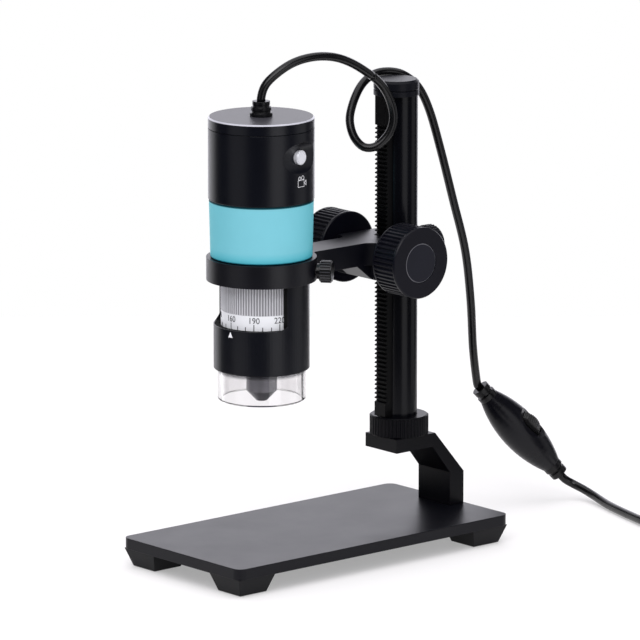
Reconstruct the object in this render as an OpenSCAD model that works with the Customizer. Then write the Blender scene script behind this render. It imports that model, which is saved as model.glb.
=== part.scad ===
// Handheld digital microscope on a rack-and-pinion focusing stand.
// Millimetres, +Z up. The origin is the middle of the base's footprint, on the surface it stands on.
// The front, with the free end of the base, is towards -Y; the column stands at +Y.

/* [Base] */
// Width of the base plate
base_w = 63; // [58:0.5:80]
// Length of the base plate
base_l = 124; // [118:1:150]
// Thickness of the base plate
base_t = 3.8; // [3.6:0.1:6]
// Radius of the plate's corners
base_corner = 3.2; // [1:0.1:6]
// Height of a rubber foot
foot_h = 6.3; // [4.5:0.1:10]
// Side of a foot where it meets the plate
foot_top = 16; // [13:0.1:20]
// Side of a foot where it stands
foot_bottom = 11.6; // [10:0.1:13]
// Distance from the plate's edge to a foot
foot_inset = 0.6; // [0.2:0.1:3]

/* [Column] */
// Distance from the plate's rear edge to the column's axis
column_setback = 24.05; // [23.05:0.1:28.05]
// Diameter of the column
column_d = 12.6; // [12:0.1:13.2]
// Length of the column above its bracket
column_l = 121; // [114:0.5:140]
// Diameter of the column's cap
cap_d = 15.9; // [15.9:0.1:18]
// How far the cap stands forward of the column's axis, to cover the rack too
cap_shift = 1.65; // [1.55:0.05:1.75]
// Height of the cap
cap_h = 5.5; // [4:0.1:8]
// Diameter of the knurled nut at the column's foot
nut_d = 20.7; // [19:0.1:24]
// Height of the nut
nut_h = 7; // [5:0.1:8]
// Width of the bracket
bracket_w = 16.6; // [15:0.1:20]
// Thickness of the bracket's top
bracket_t = 4.9; // [4:0.1:6]
// Thickness of the bracket's leg
bracket_leg = 6.5; // [5.6:0.1:8]
// Height of the bracket above the plate
bracket_h = 27.4; // [25:0.1:34]
// How far the bracket's top reaches in front of the column's axis
bracket_front = 8.35; // [7.05:0.1:11.05]

/* [Rack and pinion] */
// Module of the teeth
tooth_module = 0.5; // [0.48:0.01:0.54]
// Teeth on the rack
rack_teeth = 62; // [50:1:63]
// Rack teeth below the pinion's axis
rack_below = 34; // [26:1:35]
// Teeth on the pinion
pinion_teeth = 14; // [14:1:15]
// Width of the rack bar
rack_w = 5.6; // [4.6:0.1:5.8]
// Depth of the rack bar behind its pitch line
rack_depth = 4.5; // [4.3:0.1:4.8]
// How far the teeth stand out in front of the column
rack_proud = 2.7; // [2.5:0.1:2.8]

/* [Holder and carriage] */
// Height of the pinion's axis above the surface
pinion_z = 103.7; // [99:0.1:110]
// Height of the carriage
carriage_h = 13.2; // [12.4:0.1:15]
// How far the carriage and arm reach above the pinion's axis
carriage_over = 5.5; // [5.2:0.1:6.4]
// Width of the carriage
carriage_w = 23; // [21:0.1:24]
// How far the carriage reaches in front of the column's axis
carriage_front = 18.55; // [17.05:0.1:19.55]
// How far the carriage reaches behind the column's axis
carriage_back = 9.95; // [9.45:0.1:10.95]
// Width of the arm at its waist
arm_w = 12.8; // [11:0.1:15]
// Height of the arm and the ring
arm_h = 7.9; // [7:0.1:9]
// Length of the sloped gusset under the arm
gusset_l = 6.6; // [4:0.1:9]
// Radius of the fillet where the arm widens into the carriage
arm_fillet = 4; // [2:0.1:4.6]
// Radius of the fillet where the arm meets the ring
ring_fillet = 2.5; // [1:0.1:4]
// Distance from the column's axis to the ring's axis
reach = 63.15; // [60.05:0.1:67.05]
// Outer diameter of the ring
ring_d = 38; // [37:0.1:42]
// Direction of the ring's thumb screw, from +X towards +Y
thumb_angle = 40; // [36:1:56]
// Diameter of the thumb screw's knob
thumb_d = 7.8; // [6:0.1:7.8]
// Length of the thumb screw's knob
thumb_l = 4.3; // [4:0.1:7]
// Diameter of the thumb screw's stud
thumb_stud_d = 2.9; // [2:0.1:3.4]

/* [Focus knobs] */
// Diameter of a focus knob
knob_d = 25; // [21:0.1:27]
// Length of a focus knob
knob_l = 11.5; // [9:0.1:14]
// Space between the carriage's side and a knob
knob_space = 2; // [1.8:0.1:2.4]
// Flutes round a focus knob
knob_flutes = 48; // [36:1:60]
// Depth of a flute
flute_depth = 0.55; // [0.2:0.05:0.7]
// Diameter of the disc set into a knob
knob_disc_d = 13.8; // [10:0.1:17]
// Depth of the disc's seat
knob_disc_t = 0.8; // [0.5:0.1:1.2]
// Diameter of the cross shaft
shaft_d = 4; // [3.6:0.1:4.4]
// Diameter of the lock knob behind the carriage
lock_d = 13.2; // [10:0.1:15]
// Length of the lock knob
lock_l = 4.6; // [3.5:0.1:6]
// Diameter of the lock knob's stud
lock_stud_d = 3.9; // [3:0.1:4.4]

/* [Microscope] */
// How far the microscope is turned in the ring, from -Y towards +X
scope_turn = 7; // [-12:1:20]
// Diameter of the lower body
body_d = 33.1; // [32:0.1:34]
// Wall of the lower body
body_wall = 1.95; // [1.7:0.05:2.2]
// Length of the lower body below the sleeve
body_drop = 39.2; // [38.4:0.1:42]
// Diameter of the grip sleeve at its top
sleeve_top_d = 36; // [34.8:0.1:37]
// Diameter of the grip sleeve at its bottom
sleeve_bottom_d = 35.1; // [34.6:0.1:36]
// Length of the grip sleeve
sleeve_l = 20; // [15:0.1:26]
// Diameter of the upper housing
upper_d = 36.5; // [36:0.1:38]
// Length of the upper housing
upper_l = 24.6; // [23.5:0.1:30]
// Wall of the upper housing
upper_wall = 1.9; // [1.7:0.05:2]
// Height of the top cap
lid_h = 4; // [3.2:0.1:6]
// Bright chamfer round the top cap
lid_chamfer = 0.5; // [0.2:0.05:0.8]
// Diameter of the clear nose
nose_d = 30.4; // [29.6:0.1:30.8]
// Wall of the clear nose
nose_wall = 1.4; // [1.1:0.05:1.7]
// How far the nose reaches below the lower body
nose_l = 10.9; // [10.4:0.1:14]
// How far the nose sits inside the lower body
nose_seat = 3.8; // [3:0.1:4]
// Bottom of the window above the lower body's end
window_sill = 15.6; // [15.4:0.1:16]
// Height of the window
window_h = 20; // [17.5:0.1:21]
// Half of the angle that the window takes
window_half = 76; // [60:1:78]
// Radius of the window's corners
window_corner = 2.1; // [1.5:0.1:4]
// Diameter of the capture button
button_d = 5; // [4:0.1:5.6]
// Travel of the capture button
button_travel = 0.6; // [0.3:0.05:0.6]
// Height of the button's axis above the upper housing's lower edge
button_rise = 16.1; // [15.1:0.1:17.1]
// Direction of the button, from the microscope's own +X
button_turn = 3.5; // [-2:0.5:8]
// Height of the scooped recess round the button
dish_h = 10.7; // [9.1:0.1:10.9]
// Depth of the scooped recess
dish_depth = 2; // [1.6:0.05:2.2]

/* [Focus dial and lens] */
// Diameter of the focus dial
dial_d = 28.2; // [27:0.1:28.4]
// Height of the white scale band
scale_h = 5.4; // [4:0.1:7]
// Height of the dial's fluted part
dial_h = 10.3; // [9:0.1:10.4]
// Flutes round the dial
dial_flutes = 90; // [60:1:100]
// Diameter of the lens barrel
barrel_d = 10.6; // [9:0.1:11]
// Diameter of the barrel's driven collar, inside the dial
collar_d = 15.8; // [14:0.1:17]
// Diameter of the barrel's tip
barrel_tip_d = 3.8; // [3.4:0.1:5]
// Length of the barrel's cone
barrel_cone = 3.6; // [2.5:0.1:4]
// How far the barrel's tip stands out of the nose
barrel_out = 0.5; // [0:0.05:0.8]
// Number of light-emitting diodes
led_count = 8; // [6:1:8]

/* [Cord] */
// Diameter of the cord
cord_d = 3; // [2.6:0.1:3.1]
// Length of the ribbed boot on the microscope
boot_l = 5.2; // [4.4:0.1:8]
// Largest diameter of the boot
boot_d = 7.8; // [7:0.1:8.6]
// Length of the dimmer's body
dimmer_l = 35; // [33:0.5:37]
// Largest diameter of the dimmer's body
dimmer_d = 14; // [12:0.1:14.6]
// Diameter of the dimmer's body at its ends
dimmer_end_d = 7.2; // [6:0.1:8]
// Length of a ribbed boot on the dimmer
dimmer_boot_l = 5; // [4.4:0.1:5.5]
// Diameter of the dimmer's thumb wheel
wheel_d = 12.4; // [11:0.1:12.6]
// Width of the thumb wheel
wheel_w = 3.8; // [3.6:0.1:4.6]
// How far the wheel's rim stands out of the dimmer's body
wheel_proud = 0.6; // [0.2:0.1:0.8]
// Radius of the coil's innermost loop
coil_inner_r = 13; // [12:0.5:16]
// Distance from one turn of the coil to the next
coil_pitch = 3.5; // [3.45:0.05:4]
// Length of the plug's moulded body
plug_l = 22; // [18:0.5:28]
// Width of the plug's moulded body
plug_w = 15.6; // [14.5:0.1:18]
// Thickness of the plug's moulded body
plug_t = 8; // [7:0.1:9]
// Width of the plug's metal shell
usb_w = 12; // [11.8:0.1:12.2]
// Thickness of the plug's metal shell
usb_t = 4.5; // [4.4:0.05:4.6]
// Length of the plug's metal shell outside its moulded body
usb_l = 14; // [11.5:0.1:18.8]

/* [Clearances] */
// Radial clearance of shafts, bores and sliding fits
run_gap = 0.06; // [0.03:0.01:0.1]
// Radial clearance of pieces that stay put in each other
fit_gap = 0.04; // [0.02:0.01:0.08]
// Space between pieces that pass each other
free_gap = 0.3; // [0.2:0.05:0.4]
// Space between the sleeve's edge and the ring it hangs on
seat_gap = 0.2; // [0.1:0.05:0.3]

/* [Hidden] */
$fn = 96;
eps = 0.01;
// heights of the stand
plate_top = foot_h + base_t;
bracket_top = plate_top + bracket_h;
column_y = base_l / 2 - column_setback;
column_top = bracket_top + column_l;
column_r = column_d / 2;
leg_back = column_setback - 0.9;
leg_y = column_y + leg_back - bracket_leg / 2;
leg_screw_x = bracket_w / 4;
// slope of the bracket's rear
slope_top = 9.65;
slope_drop = 15.7;
// screws
foot_screw_d = 2.8;
foot_screw_head = 5.4;
leg_screw_d = 3;
leg_screw_head = 5.6;
leg_screw_sink = 2.2;
leg_screw_reach = 9;
column_screw_d = 5;
column_screw_head = 8.4;
column_screw_head_h = 2.4;
column_screw_sink = 2.6;
column_screw_reach = 14;
foot_x = base_w / 2 - foot_inset - foot_top / 2;
foot_y = base_l / 2 - foot_inset - foot_top / 2;
// rack and pinion
tooth_pitch = PI * tooth_module;
addendum = 0.8 * tooth_module;
dedendum = tooth_module;
backlash = 0.08;
pressure = 20;
rack_line = column_r + rack_proud - addendum;
pinion_r = pinion_teeth * tooth_module / 2;
pinion_y = column_y - rack_line - pinion_r;
pinion_w = rack_w;
rack_bottom = bracket_top + nut_h + free_gap;
rack_first = pinion_z - rack_below * tooth_pitch;
// carriage, bushes and knobs
carriage_top = pinion_z + carriage_over;
carriage_bottom = carriage_top - carriage_h;
arm_bottom = carriage_top - arm_h;
scope_y = column_y - reach;
bush_wall = 1.2;
bush_lip = 1.3;
pinion_room = 3.2;
bush_d = shaft_d + 2 * bush_wall;
bush_flange_d = bush_d + 2 * bush_lip;
bush_flange_t = 1.2;
bush_in = rack_w / 2 + pinion_room;
knob_in = carriage_w / 2 + knob_space;
knob_out = knob_in + knob_l;
knob_r = knob_d / 2;
knob_core = knob_r - flute_depth - 0.1;
knob_rim = 0.9;
knob_bevel = 0.35;
shaft_end = knob_out - knob_disc_t - 1;
lock_in = carriage_back + 1.2;
rear_y = column_y + carriage_back - carriage_w / 2;
ring_r = ring_d / 2;
ring_bore = body_d / 2 + run_gap;
thumb_neck = 1;
thumb_neck_d = 5.4;
thumb_in = ring_r + 0.4 + thumb_neck;
thumb_z = (carriage_top + arm_bottom) / 2 - 0.75;
// microscope
sleeve_z = carriage_top + seat_gap;
upper_z = sleeve_z + sleeve_l;
lid_z = upper_z + upper_l;
lid_top = lid_z + lid_h;
body_z = sleeve_z - body_drop;
body_r = body_d / 2;
body_in = body_r - body_wall;
nose_z = body_z - nose_l;
nose_r = nose_d / 2;
nose_in = nose_r - nose_wall;
nose_top = body_z + nose_seat;
upper_r = upper_d / 2;
upper_in = upper_r - upper_wall;
neck_h = 4;
board_z = upper_z + neck_h;
board_t = 1.6;
// dial, guide and barrel, from the window's sill up
guide_top = body_z + window_sill - 0.6;
dial_z = guide_top + free_gap;
dial_top = dial_z + scale_h + dial_h;
retainer_t = 3;
dial_bore = collar_d / 2 + run_gap;
barrel_r = barrel_d / 2;
barrel_z = nose_z - barrel_out;
barrel_top = dial_top + 1;
collar_z = dial_z + 3;
collar_h = 8;
lens_d = barrel_tip_d - 1;
lens_t = 1.2;
led_d = 3;
led_h = 1.6;
led_board_t = 1.6;
led_ring = (barrel_r + nose_in) / 2 + 0.4;
// button
button_z = upper_z + button_rise;
button_face = upper_r - 0.3;
button_flange = 0.9;
dish_r = (dish_h * dish_h / 4 + dish_depth * dish_depth) / (2 * dish_depth);
pad_face = upper_r - dish_depth - 1.3;
pad_half = 5.3;
button_back = pad_face - free_gap - button_flange;
switch_face = button_back - button_travel - 0.15;
switch_t = 1.8;
switch_w = 6;
button_board_t = 1.2;
button_board_w = 10;
button_board_over = 4;
// boot
boot_top = lid_top + boot_l;
boot_plug_d = 6;
boot_plug_h = 3;
rib_depth = 0.4;
rib_share = 0.62;

cord_r = cord_d / 2;
cord_sides = 8;
// Coil: four layers of two loops lie in and out, the last half loop leads off to the plug.
coil_at = [66, 131];
coil_loops = 8.5;
coil_rings = 24;
coil_sides = 6;
coil_lift = 1.1;
coil_angle = -105;
function coil_radius(t) = coil_inner_r + coil_pitch * (t > 6 ? t - 6 : abs(t % 4 - 2));
function ease(t) = let (u = max(0, min(1, t))) u * u * (3 - 2 * u);
function coil_height(t) = coil_lift + cord_r
    + coil_pitch * (ease(2 * t - 3.5) + ease(2 * t - 7.5) + ease(2 * t - 11.5));
function coil_point(t) = let (a = coil_angle + 360 * t, r = coil_radius(t))
    [coil_at[0] + r * cos(a), coil_at[1] + r * sin(a), coil_height(t)];
coil_in = [-sin(coil_angle), cos(coil_angle), 0];
coil_start = coil_point(0) - cord_d * coil_in;
coil_end = coil_point(coil_loops);
tail_steps = 12;
tail_l = 34;
plug_z = plug_t / 2;
tail_end = coil_end - tail_l * coil_in + [0, 0, plug_z - coil_end[2]];
plug_boot_l = 8;
plug_chamfer = 1.5;
usb_seat = 4;
usb_sheet = 0.32;
coil_route = concat(
    [coil_start],
    [for (i = [0 : coil_loops * coil_rings]) coil_point(i / coil_rings)],
    [for (i = [1 : tail_steps]) let (u = i / tail_steps)
        coil_end - tail_l * u * coil_in + [0, 0, (plug_z - coil_end[2]) * ease(u)]],
    [tail_end - cord_d * coil_in]);
plug_at = tail_end - cord_d * coil_in;
plug_angle = coil_angle - 90;

// Cord: hand-placed points in millimetres. The first stretch rises out of the boot, arches over to the
// column, hangs in one loop in front of it, passes behind its cap and drops to the dimmer.
dimmer_at = [-12.2, 106.8, 25.8];
dimmer_lean = 138;
dimmer_heading = 64.5;
dimmer_roll = -146;
function dimmer_place(z) = dimmer_at + z * [sin(dimmer_lean) * cos(dimmer_heading),
                                            sin(dimmer_lean) * sin(dimmer_heading),
                                            cos(dimmer_lean)];
dimmer_reach = dimmer_l / 2 + dimmer_boot_l;
// The wheel stands off the dimmer's axis, so that its rim shows; the board lies next to it.
wheel_off = dimmer_d / 2 + wheel_proud - wheel_d / 2;
axle_d = 2;
axle_l = dimmer_d - 5.4;
mouth_r = 12.9;
mouth_depth = 2.2;
dimmer_board_t = 1.2;
dimmer_board_w = 6;
dimmer_board_l = 5;
dimmer_board_at = 10.4;
cord_step = 2.5 * cord_d;
upper_route = concat(
    [[0, scope_y, boot_top], [0, scope_y, boot_top + cord_d]],
    [[0.4, -24.4, 168.6], [2, -20.5, 172], [4, -15.5, 175.5], [6, -7.5, 177.2], [7.5, 1, 176.5],
     [8, 9.5, 173.2], [8, 18, 168], [7.3, 23.8, 163.3], [7, 27.3, 158], [7, 28.8, 152], [6.2, 27.5, 146.5],
     [4, 23.8, 142.2], [1, 20.5, 141.8], [-2, 18.6, 145.2], [-4.5, 18.8, 150.5],
     [-6.2, 21.5, 155.5], [-8, 26, 160.2], [-9.6, 31, 163], [-10.2, 36.5, 164.6],
     [-8.6, 42, 164.6], [-6.2, 46, 163], [-4.8, 51, 158.4], [-4.55, 55.85, 149.8],
     [-5.1, 61.5, 135.5], [-6.35, 68.6, 116.5], [-8, 76, 97], [-11, 81.5, 77.5], [-15.2, 86.6, 58.5]],
    [dimmer_place(-dimmer_reach - cord_r), dimmer_place(-dimmer_reach)]);
lower_route = concat(
    [dimmer_place(dimmer_reach), dimmer_place(dimmer_reach + cord_d)],
    [[-2.6, 124.7, 4.9], [1.8, 125.4, 3.7], [8.5, 124.6, 2.5], [17, 122.2, 1.7], [26, 119.4, 1.6],
     [36, 116.6, 1.6], [46, 114, 1.8]],
    [coil_start - cord_d * coil_in, coil_start]);

// Shapes that repeat

// Plate with round corners, standing on z = 0
module round_plate(w, l, t, r) {
    translate([-w / 2, -l / 2 + r, 0]) cube([w, l - 2 * r, t]);
    translate([-w / 2 + r, -l / 2, 0]) cube([w - 2 * r, l, t]);
    for (x = [-1, 1], y = [-1, 1])
        translate([x * (w / 2 - r), y * (l / 2 - r), 0]) cylinder(r = r, h = t);
}

// Disc with straight flutes round its rim
module fluted(r, depth, count, h) {
    linear_extrude(h)
        polygon([for (i = [0 : 4 * count - 1]) let (a = 360 * i / (4 * count))
            (i % 4 < 2 ? r : r - depth) * [cos(a), sin(a)]]);
}

// Copies at a plate's four corners
module corners(x, y) {
    for (i = [-1, 1], j = [-1, 1]) translate([i * x, j * y, 0]) children();
}

// What follows is drawn about the microscope's own axis, turned with it
module on_scope() {
    translate([0, scope_y, 0]) rotate([0, 0, scope_turn]) children();
}

// Tube along the x axis from a to b
module along_x(a, b, r) {
    translate([a, 0, 0]) rotate([0, 90, 0]) cylinder(r = r, h = b - a);
}

// Ribbed strain relief, standing on z = 0
module ribbed_boot(d0, d1, l, ribs, depth = rib_depth) {
    pitch = l / (ribs - 1 + rib_share);
    cylinder(d1 = d0 - 2 * depth, d2 = d1 - 2 * depth, h = l);
    for (i = [0 : ribs - 1])
        translate([0, 0, i * pitch])
            cylinder(d = d0 + (d1 - d0) * i / (ribs - 1), h = rib_share * pitch);
}

// Swept tubes

function unit(v) = v / norm(v);

// Point at share t between the route's points i and i + 1
function spline(p, i, t) =
    let (a = p[max(i - 1, 0)], b = p[i], c = p[i + 1], d = p[min(i + 2, len(p) - 1)])
    0.5 * (2 * b + (c - a) * t + (2 * a - 5 * b + 4 * c - d) * t * t
           + (3 * b - a - 3 * c + d) * t * t * t);

// Route with each span split in pieces of about the given length
function smooth(p, step) =
    concat([for (i = [0 : len(p) - 2], n = [max(1, round(norm(p[i + 1] - p[i]) / step))],
                 k = [0 : n - 1]) spline(p, i, k / n)],
           [p[len(p) - 1]]);

function tangents(p) =
    [for (i = [0 : len(p) - 1]) unit(p[min(i + 1, len(p) - 1)] - p[max(i - 1, 0)])];

// Normals that turn as little as they can along the route
function normals(t, n, i = 0, kept = []) =
    i == len(t) ? kept
    : let (m = unit(n - (n * t[i]) * t[i])) normals(t, m, i + 1, concat(kept, [m]));

module tube(p, r, sides) {
    t = tangents(p);
    n = normals(t, abs(t[0][2]) < 0.9 ? [0, 0, 1] : [1, 0, 0]);
    m = len(p);
    points = [for (i = [0 : m - 1], k = [0 : sides - 1]) let (a = 360 * (k + 0.5) / sides)
        p[i] + r * (cos(a) * n[i] + sin(a) * cross(t[i], n[i]))];
    walls = [for (i = [0 : m - 2], k = [0 : sides - 1], half = [0, 1])
        let (a = i * sides + k, b = i * sides + (k + 1) % sides, c = a + sides, d = b + sides)
        half == 0 ? [a, c, b] : [b, c, d]];
    start = [for (k = [1 : sides - 2]) [0, k, k + 1]];
    finish = [for (k = [1 : sides - 2])
        [(m - 1) * sides, (m - 1) * sides + k + 1, (m - 1) * sides + k]];
    polyhedron(points, concat(walls, start, finish));
}

function path_length(p) =
    [for (i = [1 : len(p) - 1]) norm(p[i] - p[i - 1])] * [for (i = [1 : len(p) - 1]) 1];

// Stand

module base_plate() color("#24262b") difference() {
    translate([0, 0, foot_h]) round_plate(base_w, base_l, base_t, base_corner);
    corners(foot_x, foot_y) translate([0, 0, foot_h - eps]) cylinder(d = foot_screw_d + 2 * fit_gap, h = 2.8);
    for (x = [-leg_screw_x, leg_screw_x]) translate([x, leg_y, foot_h - eps]) {
        cylinder(d = leg_screw_d + 2 * fit_gap, h = base_t + 1);
        cylinder(d = leg_screw_head + 2 * fit_gap, h = leg_screw_sink);
    }
}

// Wedge that tapers to both sides of its middle, as long as it needs to be
module foot_taper(turn) rotate([90, 0, turn]) linear_extrude(2 * foot_top, center = true)
    polygon([[-foot_bottom / 2, 0], [foot_bottom / 2, 0], [foot_top / 2, foot_h], [-foot_top / 2, foot_h]]);

module foot() difference() {
    intersection() {
        foot_taper(0);
        foot_taper(90);
    }
    translate([0, 0, -eps]) cylinder(d = foot_screw_head + 2 * fit_gap, h = 2.4);
    translate([0, 0, -eps]) cylinder(d = foot_screw_d + 2 * fit_gap, h = foot_h + 1);
}

module feet() color("#1b1b1e") corners(foot_x, foot_y) foot();

module foot_screws() color("#9a9da2") corners(foot_x, foot_y) {
    translate([0, 0, 0.8]) cylinder(d = foot_screw_head, h = 1.6 - eps);
    translate([0, 0, 1]) cylinder(d = foot_screw_d, h = foot_h + 2.6 - 1);
}

module column_bracket() color("#202226") difference() {
    translate([0, column_y, 0]) rotate([90, 0, 90]) linear_extrude(bracket_w, center = true)
        polygon([[-bracket_front, bracket_top], [slope_top, bracket_top],
                 [leg_back, bracket_top - slope_drop], [leg_back, plate_top],
                 [leg_back - bracket_leg, plate_top],
                 [leg_back - bracket_leg, bracket_top - slope_drop + 0.4],
                 [slope_top - 1.2, bracket_top - bracket_t], [-bracket_front, bracket_top - bracket_t]]);
    translate([0, column_y, bracket_top - bracket_t - 1])
        cylinder(d = column_screw_d + 2 * fit_gap, h = bracket_t + 2);
    translate([0, column_y, bracket_top - bracket_t - 1])
        cylinder(d = column_screw_head + 2 * fit_gap, h = column_screw_sink + 1);
    for (x = [-leg_screw_x, leg_screw_x]) translate([x, leg_y, plate_top - 1])
        cylinder(d = leg_screw_d + 2 * fit_gap, h = leg_screw_reach + 1);
}

module bracket_screws() color("#9a9da2") for (x = [-leg_screw_x, leg_screw_x]) translate([x, leg_y, 0]) {
    translate([0, 0, foot_h + 0.4]) cylinder(d = leg_screw_head, h = leg_screw_sink - 0.4 - eps);
    translate([0, 0, foot_h + 1]) cylinder(d = leg_screw_d, h = base_t + leg_screw_reach - 1.5);
}

module column() color("#1d1e22") difference() {
    translate([0, column_y, bracket_top]) cylinder(d = column_d, h = column_l);
    translate([-rack_w / 2 - fit_gap, column_y - column_r - 1, rack_bottom - fit_gap])
        cube([rack_w + 2 * fit_gap, column_r + 1 - rack_line + rack_depth + fit_gap, column_l]);
    translate([0, column_y, bracket_top - eps])
        cylinder(d = column_screw_d + 2 * fit_gap, h = column_screw_reach);
}

// Bar with straight-sided teeth; one gap lies level with the pinion's axis
module rack() color("#2a2b30") translate([0, column_y, 0]) rotate([90, 0, 90])
    linear_extrude(rack_w, center = true) {
        tip = rack_line + addendum;
        root = rack_line - dedendum;
        half_tip = tooth_pitch / 4 - backlash / 2 - addendum * tan(pressure);
        half_root = tooth_pitch / 4 - backlash / 2 + dedendum * tan(pressure);
        teeth = [for (i = [0 : rack_teeth - 1]) let (z = rack_first + (i + 0.5) * tooth_pitch)
            each [[-root, z - half_root], [-tip, z - half_tip],
                  [-tip, z + half_tip], [-root, z + half_root]]];
        polygon(concat(
            [[rack_depth - rack_line, rack_bottom], [-tip, rack_bottom],
             [-tip, rack_first - tooth_pitch / 2 + half_tip],
             [-root, rack_first - tooth_pitch / 2 + half_root]],
            teeth,
            [[-root, rack_first + (rack_teeth + 0.5) * tooth_pitch - half_root],
             [-tip, rack_first + (rack_teeth + 0.5) * tooth_pitch - half_tip],
             [-tip, column_top], [rack_depth - rack_line, column_top]]));
    }

module column_screw() color("#9a9da2") translate([0, column_y, 0]) {
    head_top = bracket_top - bracket_t + column_screw_sink;
    translate([0, 0, head_top - column_screw_head_h])
        cylinder(d = column_screw_head, h = column_screw_head_h);
    translate([0, 0, head_top - 1])
        cylinder(d = column_screw_d, h = bracket_t - column_screw_sink + 1 + column_screw_reach - 0.5);
}

module column_cap() color("#26272c") translate([0, column_y - cap_shift, column_top]) rotate_extrude()
    polygon([[0, 0], [cap_d / 2, 0], [cap_d / 2, 1.7], [cap_d / 2 - 0.35, 1.9], [cap_d / 2 - 0.35, 2.1],
             [cap_d / 2, 2.3], [cap_d / 2, cap_h - 0.8], [cap_d / 2 - 0.8, cap_h], [0, cap_h]]);

module column_nut() color("#232429") translate([0, column_y, bracket_top + fit_gap]) difference() {
    union() {
        cylinder(r = nut_d / 2 - 0.5, h = nut_h);
        translate([0, 0, 0.3]) fluted(nut_d / 2, 0.4, 48, nut_h - 0.6);
    }
    translate([0, 0, -1]) cylinder(r = column_r + run_gap, h = nut_h + 2);
}

// Holder, focusing shaft and its knobs

module arm_flare(side) {
    // concave corner between the arm's side and the carriage's front
    translate([side * arm_w / 2, column_y - carriage_front, arm_bottom]) difference() {
        translate([side > 0 ? -1 : -arm_fillet, -arm_fillet, 0])
            cube([arm_fillet + 1, arm_fillet + 1, arm_h]);
        translate([side * arm_fillet, -arm_fillet, -1]) cylinder(r = arm_fillet, h = arm_h + 2);
    }
}

// Concave corner between the ring and the arm's side: tangent to both
module ring_flare(side) {
    x = arm_w / 2 + ring_fillet;
    y = sqrt(pow(ring_r + ring_fillet, 2) - x * x);
    touch = ring_r / (ring_r + ring_fillet);
    translate([0, scope_y, arm_bottom]) mirror([side > 0 ? 0 : 1, 0, 0]) difference() {
        linear_extrude(arm_h)
            polygon([[arm_w / 2 - 1, ring_r - 5], [x * touch, y * touch], [x, y], [arm_w / 2 - 1, y]]);
        translate([x, y, -1]) cylinder(r = ring_fillet, h = arm_h + 2);
    }
}

module holder_arm() color("#25272c") difference() {
    union() {
        translate([0, scope_y, arm_bottom]) cylinder(r = ring_r, h = arm_h);
        translate([-arm_w / 2, scope_y + ring_r - 3, arm_bottom])
            cube([arm_w, reach - ring_r + 3 - carriage_front + 1, arm_h]);
        for (side = [-1, 1]) {
            arm_flare(side);
            ring_flare(side);
        }
        translate([-carriage_w / 2, column_y - carriage_front, carriage_bottom])
            cube([carriage_w, rear_y - column_y + carriage_front, carriage_h]);
        translate([0, rear_y, carriage_bottom]) cylinder(r = carriage_w / 2, h = carriage_h);
        translate([0, column_y - carriage_front, 0]) rotate([90, 0, 90])
            linear_extrude(arm_w, center = true)
                polygon([[0.5, arm_bottom + 1], [-gusset_l, arm_bottom + 1], [-gusset_l, arm_bottom],
                         [0, carriage_bottom], [0.5, carriage_bottom]]);
        // boss for the lock stud
        translate([0, column_y, pinion_z]) rotate([-90, 0, 0])
            cylinder(d = lock_stud_d + 4.6, h = lock_in - free_gap);
    }
    translate([0, scope_y, arm_bottom - 1]) cylinder(r = ring_bore, h = arm_h + 2);
    translate([0, column_y, carriage_bottom - 1]) cylinder(r = column_r + run_gap, h = carriage_h + 2);
    // way for the rack, and the hollow that the pinion turns in
    translate([-rack_w / 2 - free_gap, column_y - rack_line - addendum - free_gap, carriage_bottom - 1])
        cube([rack_w + 2 * free_gap, column_r, carriage_h + 2]);
    translate([0, pinion_y, pinion_z]) {
        along_x(-bush_in, bush_in, pinion_r + addendum + free_gap);
        along_x(-carriage_w, carriage_w, bush_d / 2 + fit_gap);
    }
    translate([0, column_y, pinion_z]) rotate([-90, 0, 0])
        cylinder(d = lock_stud_d + 2 * run_gap, h = carriage_w);
    translate([0, scope_y, thumb_z]) rotate([0, 90, thumb_angle])
        cylinder(d = thumb_stud_d + 2 * run_gap, h = ring_d);
}

module pinion_bushes() color("#b08d57") translate([0, pinion_y, pinion_z]) for (side = [0, 1])
    mirror([side, 0, 0]) difference() {
        union() {
            along_x(bush_in, carriage_w / 2 + bush_flange_t, bush_d / 2);
            along_x(carriage_w / 2, carriage_w / 2 + bush_flange_t, bush_flange_d / 2);
        }
        along_x(0, carriage_w, shaft_d / 2 + run_gap);
    }

// Involute flank of the pinion: angle from the tooth's middle at radius r
pinion_base = pinion_r * cos(pressure);
function involute(r) = let (c = acos(min(1, pinion_base / r))) tan(c) * 180 / PI - c;
function half_tooth(r) = 90 / pinion_teeth * (1 - 2 * backlash / tooth_pitch)
    + involute(pinion_r) - involute(max(r, pinion_base));
pinion_radii = [pinion_r - dedendum, pinion_base, pinion_r - addendum / 4, pinion_r,
                pinion_r + addendum / 2, pinion_r + addendum];

module pinion_shaft() color("#8f9399") translate([0, pinion_y, pinion_z]) {
    rotate([90, 0, 90]) linear_extrude(pinion_w, center = true)
        polygon([for (i = [0 : pinion_teeth - 1]) let (m = 360 * i / pinion_teeth) each concat(
            [for (r = pinion_radii) r * [cos(m - half_tooth(r)), sin(m - half_tooth(r))]],
            [for (k = [len(pinion_radii) - 1 : -1 : 0]) let (r = pinion_radii[k])
                r * [cos(m + half_tooth(r)), sin(m + half_tooth(r))]])]);
    along_x(-shaft_end, shaft_end, shaft_d / 2);
}

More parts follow.
